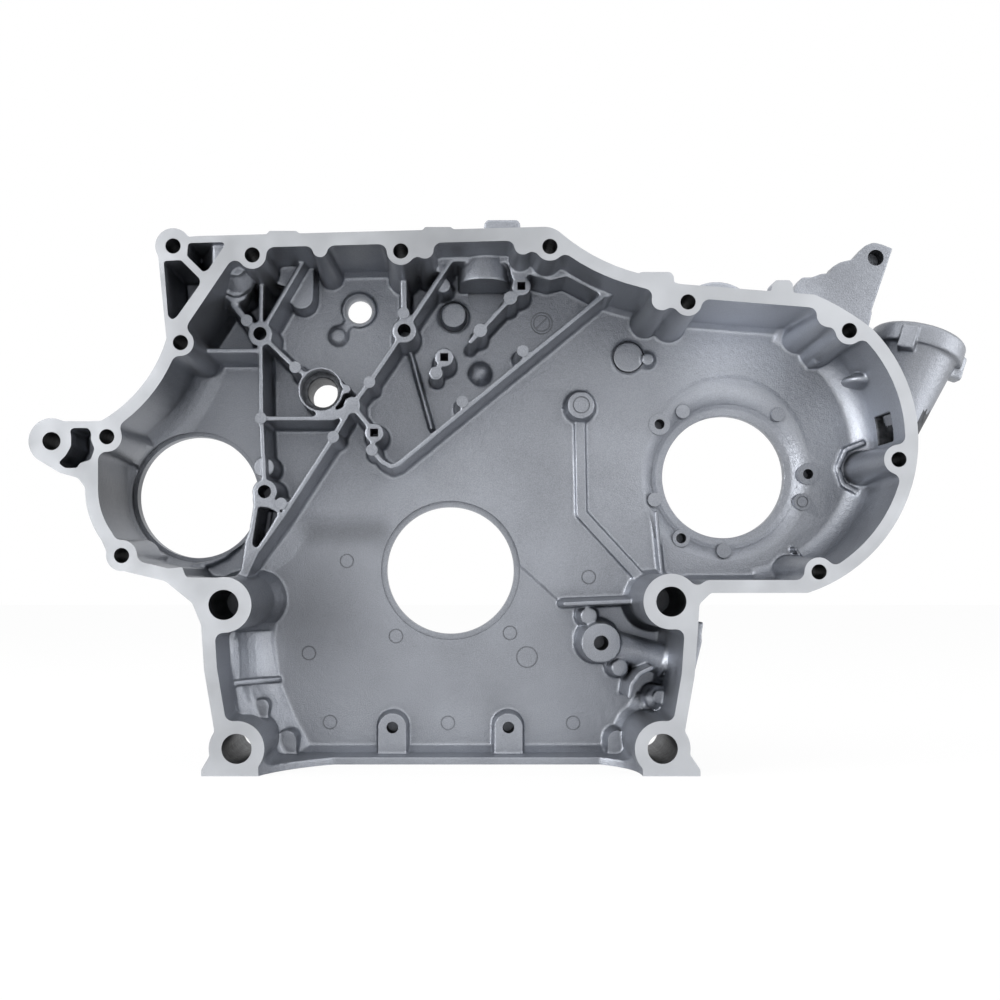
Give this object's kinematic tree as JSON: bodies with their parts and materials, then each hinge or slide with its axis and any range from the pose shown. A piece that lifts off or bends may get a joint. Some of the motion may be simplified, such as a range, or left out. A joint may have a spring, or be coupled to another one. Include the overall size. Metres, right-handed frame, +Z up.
{
  "type": "timing cover",
  "caption": "Cast front cover for an engine's gear train, with a ribbed chamber, shaft bores, bolting feet and an oil filler neck.",
  "frame": {"origin": "on the crankshaft axis, at the outer face of the crank seal boss", "axes": "+Y along the crankshaft towards the front of the engine, away from the gasket face; +Z up as fitted on the engine; +X to the right when the gasket face is seen"},
  "size_m": [0.5932, 0.082, 0.3569],
  "materials": {
    "cast_aluminium": "grainy as-cast surface with machined gasket face, bores and bosses"
  },
  "bodies": {
    "root": {"timing_cover": "cast_aluminium"}
  },
  "joints": []
}
